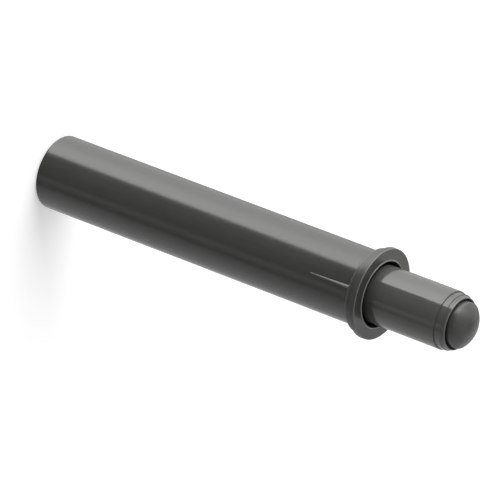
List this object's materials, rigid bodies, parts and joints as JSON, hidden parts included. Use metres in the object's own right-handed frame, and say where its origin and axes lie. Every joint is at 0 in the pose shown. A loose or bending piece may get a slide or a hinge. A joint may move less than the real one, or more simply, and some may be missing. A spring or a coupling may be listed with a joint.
{
  "type": "soft close damper",
  "caption": "Push-in soft close damper for a cabinet door: flanged blind sleeve with a spring-returned oil plunger and a domed rubber bumper.",
  "frame": {"origin": "centre of the sleeve's flat closed end, at the lowest point", "axes": "+Z along the damper's axis, from the closed end of the sleeve towards the bumper; one crush rib faces -Y"},
  "size_m": [0.012, 0.012, 0.0656],
  "materials": {
    "sleeve_plastic": "semi-gloss, dark grey",
    "plunger_plastic": "semi-gloss, dark grey",
    "bumper_rubber": "satin, dark grey",
    "acetal": "natural white",
    "steel": "turned and ground",
    "spring_steel": "drawn, oiled",
    "seal_rubber": "matte black",
    "bush_bronze": "sintered, matte",
    "foam": "closed-cell, matte"
  },
  "bodies": {
    "sleeve": {"outer_sleeve": "sleeve_plastic", "rod_socket": "acetal"},
    "rod": {"piston_rod": "steel", "piston_support_washer": "steel", "piston_head": "acetal", "piston_seal_ring": "seal_rubber", "valve_retainer": "steel", "rod_clip": "spring_steel", "return_spring": "spring_steel"},
    "valve": {"valve_disc": "spring_steel"},
    "plunger": {"plunger_shell": "plunger_plastic", "bumper": "bumper_rubber", "spring_seat": "steel", "retaining_ring": "spring_steel", "end_cap": "acetal", "cap_seal_ring": "seal_rubber", "rod_guide_bush": "bush_bronze", "rod_seal": "seal_rubber", "seal_washer": "steel", "foam_compensator": "foam", "stop_plate": "steel"}
  },
  "joints": [
    {"name": "cartridge_spin", "type": "hinge", "parent": "sleeve", "child": "rod", "pos_m": [0, 0, 0.0022], "axis": [0, 0, 1], "continuous": true},
    {"name": "plunger_slide", "type": "slide", "parent": "rod", "child": "plunger", "axis": [0, 0, -1], "range_m": [0, 0.01185], "stiffness_N_per_m": 250, "springref_m": -0.004, "deforming": ["return_spring"]},
    {"name": "valve_lift", "type": "slide", "parent": "rod", "child": "valve", "axis": [0, 0, 1], "range_m": [0, 0.0003]}
  ]
}
